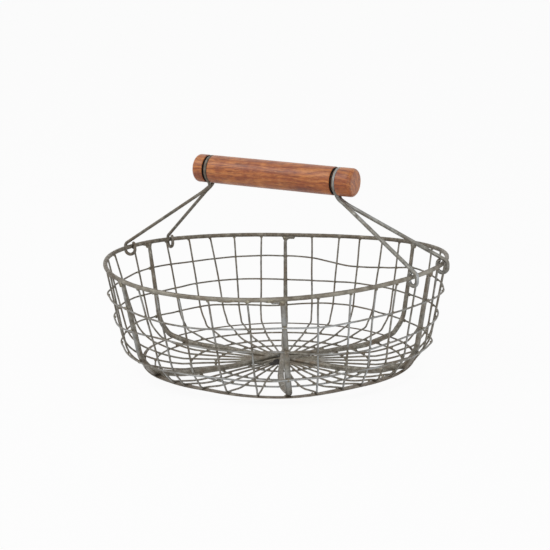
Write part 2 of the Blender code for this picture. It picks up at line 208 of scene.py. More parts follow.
# The wires bend more sharply where they pass the strip: the middle of the bend is pressed out
BEND_MIDDLE = Vector((0.1155, 0.0090))
BEND_PRESS = 0.0020
BEND_PRESS_REACH = 0.0050
BEND_PRESS_SHARES = (1.2, 0.8, 0.8, 1.0, 1.0, 1.0, 0.5, 0.0, 0.5, 1.0, 1.0, 1.0)

# The outer floor hoop is larger and lies further to the front, where it meets the strip
OUTER_HOOP_GROWTH = 0.0023
OUTER_HOOP_SHIFT = 0.0057
OUTER_HOOP_TURN = 299.0

# The strip is wider at the front and flatter, and it lies higher at the front; the wide dark band
# there is partly the strip and partly a painted contact shadow
BAND_WIDTH = 0.0054
BAND_WIDTH_SHARES = (0.7, 0.5, 0.45, 0.45, 0.45, 0.45, 0.45, 0.6, 1.2, 1.2, 1.0, 1.4)
BAND_SLOPE = 2.0
BAND_THICKNESS = 0.0009
BAND_LIFT = 0.0011
BAND_LIFT_TURN = 299.0

# The rim and the hoops are a little thinner, and the ribs are thicker toward the front
RIM_LOOK_RADIUS = 0.00184
HOOP_LOOK_RADIUS = 0.95 * HOOP_WIRE_RADIUS
RIB_GIRTH_SHARE = 0.12
RIB_GIRTH_TURN = 299.0

# The grooves and loops stand further to the left along the grip, by side: -1 left, 1 right
GROOVE_SHIFTS = {-1: -0.0013, 1: -0.0024}
LOOP_SHIFTS = {-1: -0.0008, 1: -0.0015}

# The right bail's wire is thicker but in its loop, all hooks are tighter, and the left front
# hook sits nearer to the grip's plane
WIRE_LOOK_RADII = {-1: 0.00140, 1: 0.00170}
HOOK_LOOK_RADII = {-1: HOOK_RADIUS - 0.0002, 1: HOOK_RADIUS - 0.0003}
HOOK_LOOK_ROOMS = {-1: 0.0006, 1: 0.0004}
LOOP_TAPER_LENGTH = 0.006
LEFT_FRONT_HOOK_SPREAD = 0.0225

# The curled ends of a rib and the solder beside the ribs lie closer to the rim wire
CURL_LIFT = 0.0016
RIB_FOOT_LIFT = 0.0006

# Outward bulges of the side hoops between two uprights: turn and size
BULGE_REACH = 7.5
SIDE_BULGES = {
    "side_hoop_upper": ((214.0, 0.0019), (22.0, 0.0008)),
    "side_hoop_middle": ((214.0, 0.0008),),
    "side_hoop_lower": ((214.0, 0.0013), (22.0, 0.0010)),
}

# Unevenness of the hand work: how far the wires wander, and by which share their radius varies
HOOP_RIPPLE = 0.0004
UPRIGHT_SWAY = 0.35
RIM_RIPPLE = 0.0004
UPRIGHT_LIFT = 0.0003
WIRE_DENTS = 0.06
RIB_DENTS = 0.07
BAIL_DENTS = 0.02
DENTS_PER_METRE = 420

# Blobs of solder on the wires, with half sizes round the basket, up and outward. Those where a
# hoop crosses a rib or an upright on the wall come with how far they are sunk.
RIB_JOINT = ((0.0024, 0.0015, 0.0013), 0.0006)
UPRIGHT_JOINT = ((0.0013, 0.0011, 0.0010), 0.0008)
FLOOR_JOINT = (0.0011, 0.0011, 0.0013)
FLOOR_RIB_JOINT = (0.0021, 0.0011, 0.0013)
RIM_JOINT = (0.0014, 0.0012, 0.0012)
RIM_RIB_JOINT = (0.0025, 0.0026, 0.0019)
RIM_RIB_JOINT_DROP = 0.0008

# Solder under the rim beside the ribs: its half height and half depth, and its reach toward
# smaller and toward larger turns
RIB_FOOT = (0.0013, 0.0015)
RIB_FEET = ((0.0030, 0.0030), (0.0034, 0.0026), (0.0062, 0.0022),
            (0.0042, 0.0046), (0.0030, 0.0034), (0.0082, 0.0020))

# Solder splashed on the front of the rim: half height and half depth, then turn and half length
SPLASH = (0.0015, 0.0011)
RIM_SPLASHES = ((283.0, 0.0085), (289.5, 0.0035), (296.5, 0.0050))
SPLASH_OUT = 0.0009
SPLASH_DROP = 0.0007

# Sheet of solder round the hub, with its reach at even turns from +X
HUB_SOLDER_REACH = (0.034, 0.036, 0.030, 0.025, 0.023, 0.030,
                    0.043, 0.047, 0.030, 0.016, 0.017, 0.026)
HUB_SOLDER_THICKNESS = 0.0014
HUB_SOLDER_BUMPS = 0.0003
HUB_SOLDER_SHARE_BETWEEN = 0.74

# Painted shadow by the hub, dark lumps where the rib crossing casts shade: right, behind, half
# width and half depth, as seen from the camera
HUB_SHADOW_SPOTS = ((-0.0058, -0.0100, 0.0034, 0.0100), (-0.0095, -0.0165, 0.0030, 0.0045))
HUB_SHADOW_HALF_HEIGHT = 0.0007

# Grooves of the grip: the fillet at their floor, and the dark lining in them, which is painted
# shade
GROOVE_FILLET = 0.0004
LINING_SIDE_GAP = 0.00005
LINING_LEAN = 0.0001
LINING_DEPTH = 0.0003

# Studio: the floor's depth under the basket, its reach and its share of glow where it is seen,
# the world's light for what isn't seen straight, and where the lamps point
FLOOR_DROP = 0.0002
FLOOR_REACH = 60.0
FLOOR_GLOW_SHARE = 0.93
WORLD_STRENGTH = 0.55
LAMP_AIM = Vector((0, 0, 0.08))

# Camera, from the photograph's perspective
CAMERA_TURN = 29.176
CAMERA_RISE = 12.486
CAMERA_DISTANCE = 1.40
CAMERA_MIDDLE = Vector((0.0, 0.0, 0.0644))
CAMERA_LENS = 107.43
CAMERA_ROLL = -0.432
AIM_UP = 0.0134
AIM_RIGHT = -0.0019


def unit(turn):
    angle = math.radians(turn)
    return Vector((math.cos(angle), math.sin(angle)))


def cosine(turn):
    return math.cos(math.radians(turn))


def mix(start, end, share):
    return start + (end - start) * share


# The skin

def skin_profile():
    """Skin as (radius, height) points from the rim down to the start of the floor."""
    top = Vector((RIM_RADIUS + UPRIGHT_RADIUS, RIM_HEIGHT))
    corner = Vector((FOOT_RADIUS, FLOOR_SKIN))
    start = top.lerp(corner, 1 - WALL_BEND_REACH / (RIM_HEIGHT - FLOOR_SKIN))
    end = Vector((FOOT_RADIUS - FLOOR_BEND_REACH, FLOOR_SKIN))
    points = [top.lerp(start, i / WALL_STEPS) for i in range(WALL_STEPS + 1)]
    for i in range(BEND_STEPS):
        share = (i + 1) / BEND_STEPS
        points.append(start.lerp(corner, share).lerp(corner.lerp(end, share), share))
    return points


SKIN = skin_profile()


def skin_at(value, is_radius):
    """Skin point at a radius or at a height, and its unit normal out of the basket."""
    for outer, inner in zip(SKIN, SKIN[1:] + [Vector((0, FLOOR_SKIN))]):
        start, end = (outer.x, inner.x) if is_radius else (outer.y, inner.y)
        if end <= value <= start and start > end:
            run = (inner - outer).normalized()
            return outer.lerp(inner, (start - value) / (start - end)), Vector((-run.y, run.x))
    raise ValueError("the skin does not reach this value")


def climb(height):
    """0 on the floor, 1 at the rim: how much of the rim's saddle and of the leans applies."""
    return min(max((height - FLOOR_SKIN) / (RIM_HEIGHT - FLOOR_SKIN), 0), 1)


def place(turn, radius, height):
    """Skin coordinates to a point in space."""
    away = (Vector((radius, height)) - BEND_MIDDLE).length
    press = BEND_PRESS * math.exp(-(away / BEND_PRESS_REACH)**2) / math.sqrt(2)
    press *= from_ring(BEND_PRESS_SHARES, turn)
    radius += press
    height -= press
    rise = climb(height)
    oval = RIM_OVAL_SHARE * cosine(2 * (turn - RIM_OVAL_TURN)) * rise**OVAL_FADE_SHARE
    saddle = RIM_SADDLE * cosine(2 * (turn - RIM_SADDLE_TURN)) * rise
    near = FLOOR_HOOPS["floor_hoop_outer"]
    along = from_ring(FOOT_STRETCH_SHARES, turn)
    beyond = min(max((radius - near) / (STRIP_RADIUS - near), 0), 1)
    oval += FOOT_STRETCH * along * beyond * (1 - rise)**STRETCH_FADE
    inward = max(0, 1 - radius / FOOT_RADIUS)
    flat = unit(turn) * radius * (1 + oval) + Vector((HUB_X, HUB_Y)) * inward
    floor_radius = FOOT_RADIUS - FLOOR_BEND_REACH
    out = min(max((radius - floor_radius) / (STRIP_RADIUS - floor_radius), 0), 1)
    warp = FOOT_WARP * from_ring(FOOT_WARP_SHARES, turn) * out * (1 - rise)**WARP_FADE
    return Vector((flat.x, flat.y, height + saddle + warp))


def from_ring(values, turn):
    """Smooth value at a turn from values at even turns round the basket."""
    spot = turn / 360 * len(values)
    first = math.floor(spot)
    share = spot - first
    before, start, end, after = [values[(first + i) % len(values)] for i in (-1, 0, 1, 2)]
    bend = 2 * before - 5 * start + 4 * end - after
    twist = 3 * (start - end) + after - before
    return start + share / 2 * (end - before + share * (bend + share * twist))


def wire_turn(wire, radius, height):
    """Turn of one of the wires, counted from +X, where it passes a radius and a height."""
    sector, i = divmod(wire, WIRES_PER_SECTOR)
    ribs = len(RIB_NAMES)
    hub = mix(HUB_LEANS[sector % ribs], HUB_LEANS[(sector + 1) % ribs], i / WIRES_PER_SECTOR)
    out = min(1, radius / STRIP_RADIUS)
    lean = mix(hub, FOOT_LEANS[sector][i], out * out)
    return 360 * wire / WIRES_ROUND + mix(lean, RIM_LEANS[sector][i], climb(height))


def ring_noise(turn, size, seed):
    """Smooth unevenness that closes round the basket."""
    spot = unit(turn) * size
    return noise.noise(Vector((spot.x, spot.y, seed)))


def ripple(seed, spot, size):
    """Smooth unevenness between -1 and 1 that repeats for the same seed."""
    return noise.noise(Vector((seed * 3.7 + 0.31, spot * size, seed * 1.9)))


def swayed_turn(wire, radius, height):
    """Turn of a thin upright, which bows a little between the rim and the floor."""
    rise = climb(height)
    bow = UPRIGHT_SWAY * ripple(wire, height, 30) * 4 * rise * (1 - rise)
    return wire_turn(wire, radius, height) + bow


def outside_skin(value, is_radius):
    """Centre of a hoop wire just outside the skin."""
    point, out = skin_at(value, is_radius)
    return point + out * (HOOP_GAP + HOOP_WIRE_RADIUS)


def side_hoop_point(name, turn):
    """Centre of a side hoop at a turn, wavy as bent by hand."""
    wave = HOOP_WAVE * from_ring(HOOP_WAVE_SHARES[name], turn)
    wave += HOOP_RIPPLE * ring_noise(turn, 8, SIDE_HOOPS[name] * 100)
    centre = outside_skin(SIDE_HOOPS[name] + wave, False)
    for middle, size in SIDE_BULGES[name]:
        away = min(abs(turn % 360 - middle) / BULGE_REACH, 1)
        centre.x += size * math.cos(math.pi / 2 * away)**2
    return place(turn, *centre)


def floor_hoop_point(name, turn):
    radius = FLOOR_HOOPS[name]
    if name == "floor_hoop_outer":
        radius += OUTER_HOOP_GROWTH + OUTER_HOOP_SHIFT * cosine(turn - OUTER_HOOP_TURN)
    centre = Vector((radius, HOOP_WIRE_RADIUS))
    if radius > FOOT_RADIUS - FLOOR_BEND_REACH:
        centre = outside_skin(radius, True)
    return place(turn, *centre)


# Making meshes

def add_object(name, data):
    made = bpy.data.objects.new(name, data)
    bpy.context.scene.collection.objects.link(made)
    return made


def finish(name, shape, material, replaces=(), body="basket"):
    """Piece of the visual model from a shape, which is a list of points and one of faces."""
    points, faces = shape
    mesh = bpy.data.meshes.new(name)
    mesh.from_pydata([tuple(p) for p in points], [], faces)
    mesh.validate()
    solid = bmesh.new()
    solid.from_mesh(mesh)
    bmesh.ops.recalc_face_normals(solid, faces=solid.faces)
    solid.to_mesh(mesh)
    solid.free()
    mesh.shade_smooth()
    mesh.set_sharp_from_angle(angle=math.radians(SHARP_ANGLE))
    mesh.materials.append(material)
    piece = add_object(name, mesh)
    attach(piece, body)
    if replaces:
        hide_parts(*replaces)


def faces_between(first, second, sides):
    """Faces between two rings of points, given by the number of each ring's first point."""
    faces = []
    for k in range(sides):
        n = (k + 1) % sides
        faces.append((first + k, first + n, second + n, second + k))
    return faces


def frames(path, closed):
    """A tangent and a side vector at each point, with as little twist as can be."""
    count = len(path)
    tangents = []
    for i in range(count):
        before = path[i - 1] if closed or i else path[0]
        after = path[(i + 1) % count] if closed or i < count - 1 else path[-1]
        tangents.append((after - before).normalized())
    start = Vector((0, 0, 1)) if abs(tangents[0].z) < 0.9 else Vector((1, 0, 0))
    side = (start - tangents[0] * start.dot(tangents[0])).normalized()
    sides = [side]
    for tangent in tangents[1:]:
        side = (side - tangent * side.dot(tangent)).normalized()
        sides.append(side)
    return tangents, sides


def tube(path, radii, sides, uneven, closed=False, seed=0.0):
    """Shape of a round wire along a path, with domed ends if it is open."""
    tangents, across = frames(path, closed)
    rings = list(zip(path, tangents, across, radii))
    if not closed:
        first, last = rings[0], rings[-1]
        for share in (0.55, 0.9):
            reach = math.sqrt(1 - share * share)
            p, t, s, r = first
            rings.insert(0, (p - t * r * share * 0.8, t, s, r * reach))
            p, t, s, r = last
            rings.append((p + t * r * share * 0.8, t, s, r * reach))
    points = []
    for p, t, s, r in rings:
        other = t.cross(s)
        r = r * (1 + uneven * noise.noise(p * DENTS_PER_METRE + Vector((seed, 0, 0))))
        for k in range(sides):
            angle = 2 * math.pi * k / sides
            points.append(p + (s * math.cos(angle) + other * math.sin(angle)) * r)
    faces = []
    count = len(rings)
    for i in range(count if closed else count - 1):
        faces += faces_between(i * sides, (i + 1) % count * sides, sides)
    if not closed:
        faces.append(tuple(range(sides))[::-1])
        faces.append(tuple(range((count - 1) * sides, count * sides)))
    return points, faces


def make_ball(subdivisions):
    solid = bmesh.new()
    bmesh.ops.create_icosphere(solid, subdivisions=subdivisions, radius=1)
    points = [v.co.copy() for v in solid.verts]
    faces = [tuple(v.index for v in f.verts) for f in solid.faces]
    solid.free()
    return points, faces


BALLS = {2: make_ball(2), 3: make_ball(3)}


def lump(shape, centre, axes, rough, fine=3):
    """Adds an uneven blob of solder, stretched along three axes, to a shape."""
    points, faces = shape
    ball_points, ball_faces = BALLS[fine]
    base = len(points)
    faces.extend(tuple(base + i for i in face) for face in ball_faces)
    seed = centre * 900
    for p in ball_points:
        q = p * (1 + rough * noise.noise(seed + p * 1.6))
        points.append(centre + axes[0] * q.x + axes[1] * q.y + axes[2] * q.z)


def smooth_path(points, step):
    """Points about one step apart on a smooth curve through the given ones."""
    made = []
    last = len(points) - 1
    for i in range(last):
        p0, p1, p2, p3 = points[max(i - 1, 0)], points[i], points[i + 1], points[min(i + 2, last)]
        count = max(1, round((p2 - p1).length / step))
        for j in range(count):
            t = j / count
            made.append(0.5 * ((2 * p1) + (p2 - p0) * t + (2 * p0 - 5 * p1 + 4 * p2 - p3) * t * t
                               + (3 * p1 - p0 - 3 * p2 + p3) * t**3))
    return made + [points[-1]]


# Materials

def node(tree, kind, inputs=None, **settings):
    """One shader node with its settings and input values or links."""
    made = tree.nodes.new("ShaderNode" + kind)
    for key, value in settings.items():
        setattr(made, key, value)
    for key, value in (inputs or {}).items():
        if isinstance(value, bpy.types.NodeSocket):
            tree.links.new(value, made.inputs[key])
        else:
            made.inputs[key].default_value = value
    return made


def colour_of(value):
    """Linear colour from a screen colour (red, green, blue) of 0 to 255, or from a linear grey."""
    if not isinstance(value, tuple):
        return (value, value, value, 1)
    made = []
    for part in value:
        part /= 255
        made.append(part / 12.92 if part <= 0.04045 else ((part + 0.055) / 1.055)**2.4)
    return (*made, 1)


def ramp(tree, factor, *stops):
    made = node(tree, "ValToRGB", {"Fac": factor})
    elements = made.color_ramp.elements
    while len(elements) < len(stops):
        elements.new(0.5)
    for element, (place_on, colour) in zip(elements, stops):
        element.position = place_on
        element.color = colour_of(colour)
    return made.outputs["Color"]


def new_material(name, metallic):
    material = bpy.data.materials.new(name)
    material.use_nodes = True
    tree = material.node_tree
    shader = tree.nodes["Principled BSDF"]
    shader.inputs["Metallic"].default_value = metallic
    where = node(tree, "TexCoord").outputs["Object"]
    return material, tree, shader, where


def blend_colours(tree, factor, first, second, mode="MIX"):
    if isinstance(second, tuple):
        second = colour_of(second)
    inputs = {0: factor, 6: first, 7: second}
    return node(tree, "Mix", inputs, data_type="RGBA", blend_type=mode).outputs[2]


def speckle(tree, where, scale, detail, roughness, output="Fac"):
    """Noise on the surface."""
    settings = {"Vector": where, "Scale": scale, "Detail": detail, "Roughness": roughness}
    return node(tree, "TexNoise", settings).outputs[output]


def squeeze(tree, where, share):
    """Coordinates in which a pattern is drawn out along X."""
    return node(tree, "Mapping", {"Vector": where, "Scale": (share, 1, 1)}).outputs["Vector"]


def dress(tree, shader, base, rough):
    tree.links.new(base, shader.inputs["Base Color"])
    tree.links.new(rough, shader.inputs["Roughness"])


def emboss(tree, shader, height, strength, distance):
    bump = node(tree, "Bump", {"Height": height, "Strength": strength, "Distance": distance})
    tree.links.new(bump.outputs["Normal"], shader.inputs["Normal"])


def outwardness(tree, where):
    """How far a surface faces away from the basket's axis, 0 to 1."""
    flat = node(tree, "VectorMath", {0: where, 1: (1, 1, 0)}, operation="MULTIPLY").outputs[0]
    out = node(tree, "VectorMath", {0: flat}, operation="NORMALIZE").outputs[0]
    normal = node(tree, "NewGeometry").outputs["Normal"]
    dot = node(tree, "VectorMath", {0: out, 1: normal}, operation="DOT_PRODUCT").outputs["Value"]
    limits = {"Value": dot, "From Min": 0.15, "From Max": 0.85}
    return node(tree, "MapRange", limits).outputs["Result"]


def make_zinc(name, dark, middle, light, brown, silver, silver_share):
    """Aged galvanised wire: brownish grey, with brown patches, and silvery spots on the faces
    turned away from the axis, partly wear and partly a painted highlight.
    """
    material, tree, shader, where = new_material(name, 0.55)
    broad = speckle(tree, where, 38, 3, 0.6)
    mottle = speckle(tree, where, 240, 5, 0.62)
    grain = speckle(tree, where, 2400, 2, 0.6)
    stained = speckle(tree, where, 95, 4, 0.65)
    base = ramp(tree, mottle, (0.30, dark), (0.5, middle), (0.70, light))
    patch = ramp(tree, stained, (0.46, 0), (0.66, 0.85))
    base = blend_colours(tree, patch, base, brown)
    tone = ramp(tree, broad, (0.35, 0.80), (0.65, 1))
    base = blend_colours(tree, 1.0, base, tone, "MULTIPLY")
    # Silvery spots on the faces turned away from the axis: partly wear, partly a painted highlight
    # where the front wires catch the light
    spots = broad.node.outputs["Color"]
    rub_and_sheen = ramp(tree, spots, (0.42, 0), (0.60, silver_share))
    rub_and_sheen = node(tree, "Math", {0: rub_and_sheen, 1: outwardness(tree, where)}, operation="MULTIPLY")
    base = blend_colours(tree, rub_and_sheen.outputs[0], base, silver)
    dress(tree, shader, base, ramp(tree, mottle, (0.32, 0.60), (0.68, 0.38)))
    emboss(tree, shader, blend_colours(tree, 0.35, mottle, grain), 0.3, 0.0003)
    return material


def make_solder():
    """Lumps of solder, stained like the wires, with brighter high spots."""
    material, tree, shader, where = new_material("solder", 0.5)
    spots = speckle(tree, where, 520, 4, 0.62)
    stained = speckle(tree, where, 90, 3, 0.6)
    base = ramp(tree, spots, (0.30, (98, 92, 80)), (0.52, (140, 134, 118)), (0.70, (188, 184, 162)))
    patch = ramp(tree, stained, (0.42, 0), (0.64, 0.8))
    base = blend_colours(tree, patch, base, (116, 103, 88))
    dress(tree, shader, base, ramp(tree, spots, (0.35, 0.6), (0.7, 0.35)))
    emboss(tree, shader, spots, 0.4, 0.0004)
    return material


def make_painted_shade_material():
    """Painted shade, nearly black with brown edges, for the hub and the grip's grooves."""
    material, tree, shader, where = new_material("painted shade", 0.0)
    spots = speckle(tree, where, 600, 4, 0.6)
    base = ramp(tree, spots, (0.4, (14, 12, 11)), (0.7, (46, 38, 32)))
    dress(tree, shader, base, ramp(tree, spots, (0.4, 0.7), (0.7, 0.9)))
    return material


def make_wood():
    """Orange brown turned wood with short figure, pores, pale flecks painted as the sparkle of a
    highlight, and a satin varnish.
    """
    material, tree, shader, where = new_material("varnished wood", 0.0)
    stretched = squeeze(tree, where, 0.20)
    warp = speckle(tree, stretched, 70, 3, 0.55, "Color")
    shifted = node(tree, "VectorMath", {0: warp, 1: (0.5, 0.5, 0.5)}, operation="SUBTRACT")
    shifted = node(tree, "VectorMath", {0: shifted.outputs[0], "Scale": 0.02}, operation="SCALE")
    heart = node(tree, "Mapping", {"Vector": stretched, "Location": (0, 0.019, -0.145)})
    heart = node(tree, "VectorMath", {0: heart.outputs["Vector"], 1: shifted.outputs[0]},
                 operation="ADD").outputs[0]
    rings = node(tree, "TexWave", {"Vector": heart, "Scale": 78, "Distortion": 2.4, "Detail": 2,
                                   "Detail Scale": 1.4}, wave_type="RINGS", rings_direction="X")
    fine_place = squeeze(tree, where, 0.10)
    fibres = speckle(tree, fine_place, 1300, 4, 0.6)
    streaks = speckle(tree, stretched, 230, 5, 0.62)
    clouds = speckle(tree, where, 60, 3, 0.6)
    sparkle_flecks = speckle(tree, fine_place, 2600, 3, 0.7)
    base = ramp(tree, rings.outputs["Fac"], (0.0, (170, 92, 38)), (0.35, (188, 108, 48)),
                (1.0, (206, 130, 66)))
    dark = ramp(tree, streaks, (0.32, 0.6), (0.46, 0))
    base = blend_colours(tree, dark, base, (134, 66, 30))
    line = ramp(tree, fibres, (0.36, (190, 172, 160)), (0.50, 1))
    base = blend_colours(tree, 1.0, base, line, "MULTIPLY")
    tone = ramp(tree, clouds, (0.36, (206, 176, 164)), (0.60, 1))
    base = blend_colours(tree, 1.0, base, tone, "MULTIPLY")
    # Painted highlight: pale flecks all over the wood, standing for the sparkle of the varnish
    # where it catches the light
    painted_sparkle = ramp(tree, sparkle_flecks, (0.56, 0), (0.68, 0.32))
    base = blend_colours(tree, painted_sparkle, base, (226, 172, 118))
    dress(tree, shader, base, ramp(tree, streaks, (0.35, 0.40), (0.65, 0.52)))
    emboss(tree, shader, blend_colours(tree, 0.5, fibres, streaks), 0.35, 0.0004)
    shader.inputs["Coat Weight"].default_value = 0.3
    shader.inputs["Coat Roughness"].default_value = 0.3
    return material


# The basket

def offset_profile(radius_at):
    """Centre line of a wire of changing radius that lies inside the skin."""
    points = []
    last = len(SKIN) - 1
    for i, point in enumerate(SKIN):
        run = (SKIN[min(i + 1, last)] - SKIN[max(i - 1, 0)]).normalized()
        if i == last:
            run = Vector((-1, 0))
        radius = radius_at(i / last)
        points.append((point + Vector((run.y, -run.x)) * radius, radius))
    return points


def drop_from_rim(profile, clearance):
    """The profile with its top end lowered to a height under the rim wire."""
    (first, radius), (second, _) = profile[0], profile[1]
    top = RIM_HEIGHT - RIM_WIRE_RADIUS - clearance
    share = (first.y - top) / (first.y - second.y)
    return [(first.lerp(second, share), radius)] + profile[1:]


def all_wires():
    """Every wire round the hub, with its place in its sector: the first is a rib."""
    return [(wire, wire % WIRES_PER_SECTOR) for wire in range(WIRES_ROUND)]


def upright_path(wire, end_radius):
    profile = drop_from_rim(offset_profile(lambda share: UPRIGHT_RADIUS), -UPRIGHT_RADIUS)
    start = profile[-1][0]
    for i in range(1, UPRIGHT_FLOOR_STEPS + 1):
        radius = mix(start.x, end_radius, i / UPRIGHT_FLOOR_STEPS)
        lift = UPRIGHT_LIFT * max(ripple(wire, radius, 60), 0)
        profile.append((Vector((radius, start.y + lift)), UPRIGHT_RADIUS))
    return [place(swayed_turn(wire, *p), *p) for p, _ in profile]


def flared_top(profile):
    """Rows of a rib with a thicker end under the rim: point, radius, distance along the rim."""
    (top, _), (second, _) = profile[0], profile[1]
    rows = []
    for i in range(FLARE_STEPS + 1):
        share = i / FLARE_STEPS
        spot = top.lerp(second, share * RIB_FLARE_LENGTH / (top - second).length)
        rows.append((spot, mix(RIB_FLARE_RADIUS, RIB_TOP_RADIUS, math.sin(share * math.pi / 2)), 0))
    return rows


def curled_top(profile):
    """Rows of a rib that curls along under the rim."""
    (top, _), (second, _) = profile[0], profile[1]
    rows = []
    for i in range(CURL_STEPS + 1):
        angle = math.pi / 2 * i / CURL_STEPS
        drop = RIB_TOP_RADIUS - CURL_LIFT + CURL_RADIUS * (1 - math.cos(angle))
        aside = CURL_RADIUS * (1 - math.sin(angle))
        spot = top.lerp(second, drop / (top.y - second.y))
        rows.append((spot, RIB_TOP_RADIUS, aside))
    end, radius, aside = rows[0]
    return [(end, radius, aside + CURL_LENGTH)] + rows


def rib_half(wire, level):
    """Points and radii of a rib from the rim to just short of the hub."""
    profile = offset_profile(lambda share: mix(RIB_TOP_RADIUS, RIB_FLOOR_RADIUS, share))
    profile = drop_from_rim(profile, 0)
    shape_top = curled_top if RIB_NAMES[level] == CURLED_RIB else flared_top
    top_rows = shape_top(profile)
    low = top_rows[-1][0].y
    rows = top_rows + [(point, radius, 0) for point, radius in profile[1:] if point.y < low]
    start = FOOT_RADIUS - FLOOR_BEND_REACH
    for i in range(1, RIB_FLOOR_STEPS):
        share = (1 - i / RIB_FLOOR_STEPS)**RIB_STEPS_BUNCHING
        radius = start * share
        thickness = mix(RIB_HUB_RADIUS, RIB_FLOOR_RADIUS, share)
        near = max(0, 1 - radius / RIB_RISE_REACH)
        rise = level * RIB_STEP * near * near * (3 - 2 * near)
        rows.append((Vector((radius, FLOOR_SKIN + thickness + rise)), thickness, 0))
    points = []
    for spot, _, aside in rows:
        turn = wire_turn(wire, *spot) - math.degrees(aside / RIM_RADIUS)
        points.append(place(turn, *spot))
    girth = 1 + RIB_GIRTH_SHARE * cosine(360 * wire / WIRES_ROUND - RIB_GIRTH_TURN)
    return points, [radius * girth for _, radius, _ in rows]


def make_rim(zinc):
    path = []
    for turn in HOOP_TURNS:
        wave = RIM_RIPPLE * ring_noise(turn, 3, 1.5)
        path.append(place(turn, RIM_RADIUS + wave, RIM_HEIGHT) + Vector((0, 0, wave * 0.6)))
    shape = tube(path, [RIM_LOOK_RADIUS] * len(path), ROD_SIDES, WIRE_DENTS, closed=True)
    finish("rim_wire", shape, zinc, ["rim_hoop"])


def make_ribs(zinc):
    for level, name in enumerate(RIB_NAMES):
        wire = level * WIRES_PER_SECTOR
        first, first_radii = rib_half(wire, level)
        second, second_radii = rib_half(wire + WIRES_ROUND // 2, level)
        height = FLOOR_SKIN + RIB_HUB_RADIUS + level * RIB_STEP
        points = first + [Vector((HUB_X, HUB_Y, height))] + second[::-1]
        radii = first_radii + [RIB_HUB_RADIUS] + second_radii[::-1]
        shape = tube(points, radii, ROD_SIDES, RIB_DENTS, seed=level)
        finish(name + "_rod", shape, zinc, [name])


def make_uprights(zinc):
    number = 0
    for wire, i in all_wires():
        if i == 0:
            continue
        number += 1
        beside_rib = i in (1, WIRES_PER_SECTOR - 1)
        end_radius = UPRIGHT_END_BESIDE_RIB_RADIUS if beside_rib else UPRIGHT_END_RADIUS
        path = upright_path(wire, end_radius)
        shape = tube(path, [UPRIGHT_RADIUS] * len(path), WIRE_SIDES, WIRE_DENTS, seed=wire)
        finish(f"upright_wire_{number:02d}", shape, zinc, [f"upright_{number:02d}"])


def make_hoops(zinc):
    for names, point_at in ((SIDE_HOOPS, side_hoop_point), (FLOOR_HOOPS, floor_hoop_point)):
        for name in names:
            path = [point_at(name, turn) for turn in HOOP_TURNS]
            shape = tube(path, [HOOP_LOOK_RADIUS] * len(path), WIRE_SIDES, WIRE_DENTS, closed=True)
            finish(name.replace("hoop", "wire"), shape, zinc, [name])


def make_strip(zinc):
    """Flat band with rounded edges that slopes down outward."""
    slope = unit(-BAND_SLOPE)
    square = Vector((-slope.y, slope.x))
    skin, _ = skin_at(STRIP_RADIUS, True)
    fall = STRIP_WIDTH * math.sin(math.radians(STRIP_SLOPE))
    edge = skin + Vector((STRIP_WIDTH, -HOOP_GAP - fall))
    section = []
    for k in range(STRIP_SIDES):
        spot = unit(360 * k / STRIP_SIDES)
        across = math.copysign(abs(spot.x) ** 0.5, spot.x) / 2 - 0.5
        section.append((slope * across, square * math.copysign(abs(spot.y) ** 0.6, spot.y) / 2))
    points, faces = [], []
    for i, turn in enumerate(HOOP_TURNS):
        wave = HOOP_RIPPLE * ring_noise(turn, 4, 9.5)
        wave += BAND_LIFT * cosine((turn - BAND_LIFT_TURN) / 2)**2
        outer = place(turn, edge.x, edge.y + wave)
        width = BAND_WIDTH * from_ring(BAND_WIDTH_SHARES, turn)
        for along, up in section:
            spot = along * width + up * BAND_THICKNESS
            points.append(outer + (unit(turn) * spot.x).to_3d() + Vector((0, 0, spot.y)))
        faces += faces_between(i * STRIP_SIDES, (i + 1) % HOOP_STEPS * STRIP_SIDES, STRIP_SIDES)
    finish("foot_band", (points, faces), zinc, ["foot_strip"])


def crossing_axes(turn, along_hoop, along_wire, through):
    """Axes of a solder blob: round the basket, up, and outward."""
    out = unit(turn)
    return (Vector((-out.y, out.x, 0)) * along_hoop, Vector((0, 0, 1)) * along_wire,
            Vector((out.x, out.y, 0)) * through)


def solder_side(solder):
    """Blobs where the side hoops cross the uprights and ribs."""
    for name, height in SIDE_HOOPS.items():
        shape = ([], [])
        for wire, i in all_wires():
            radius = outside_skin(height, False).x
            if i == 0:
                turn = wire_turn(wire, radius, height)
                (along, up, outward), sink = RIB_JOINT
                along *= 1 + 0.3 * ripple(wire, 1.0, 3)
            else:
                turn = swayed_turn(wire, radius, height)
                (along, up, outward), sink = UPRIGHT_JOINT
                along *= 1 + 0.25 * ripple(wire, 2.0, 3)
            centre = side_hoop_point(name, turn) - unit(turn).to_3d() * sink
            rough, fine = (0.35, 3) if i == 0 else (0.25, 2)
            lump(shape, centre, crossing_axes(turn, along, up, outward), rough, fine)
        finish(name.replace("hoop", "joints"), shape, solder)


def solder_floor(solder):
    """Blobs where the floor hoops cross the wires."""
    for name, radius in FLOOR_HOOPS.items():
        shape = ([], [])
        for wire, i in all_wires():
            if name == "hub_hoop" and i in (1, WIRES_PER_SECTOR - 1):
                continue
            turn = wire_turn(wire, radius, FLOOR_SKIN)
            centre = floor_hoop_point(name, turn) + Vector((0, 0, HOOP_WIRE_RADIUS + SEAT_GAP / 2))
            size, fine = (FLOOR_RIB_JOINT, 3) if i == 0 else (FLOOR_JOINT, 2)
            along, up, outward = crossing_axes(turn, *size)
            lump(shape, centre, (outward, along, up), 0.25, fine)
        finish(name.replace("hoop", "joints"), shape, solder)


def turn_between(spot, radius):
    """Turn of a place between two wires on the floor: spot counts wires, with a fraction."""
    first = math.floor(spot)
    ends = []
    for number in (first, first + 1):
        rounds, wire = divmod(number, WIRES_ROUND)
        ends.append(wire_turn(wire, radius, FLOOR_SKIN) + 360 * rounds)
    return mix(*ends, spot - first)


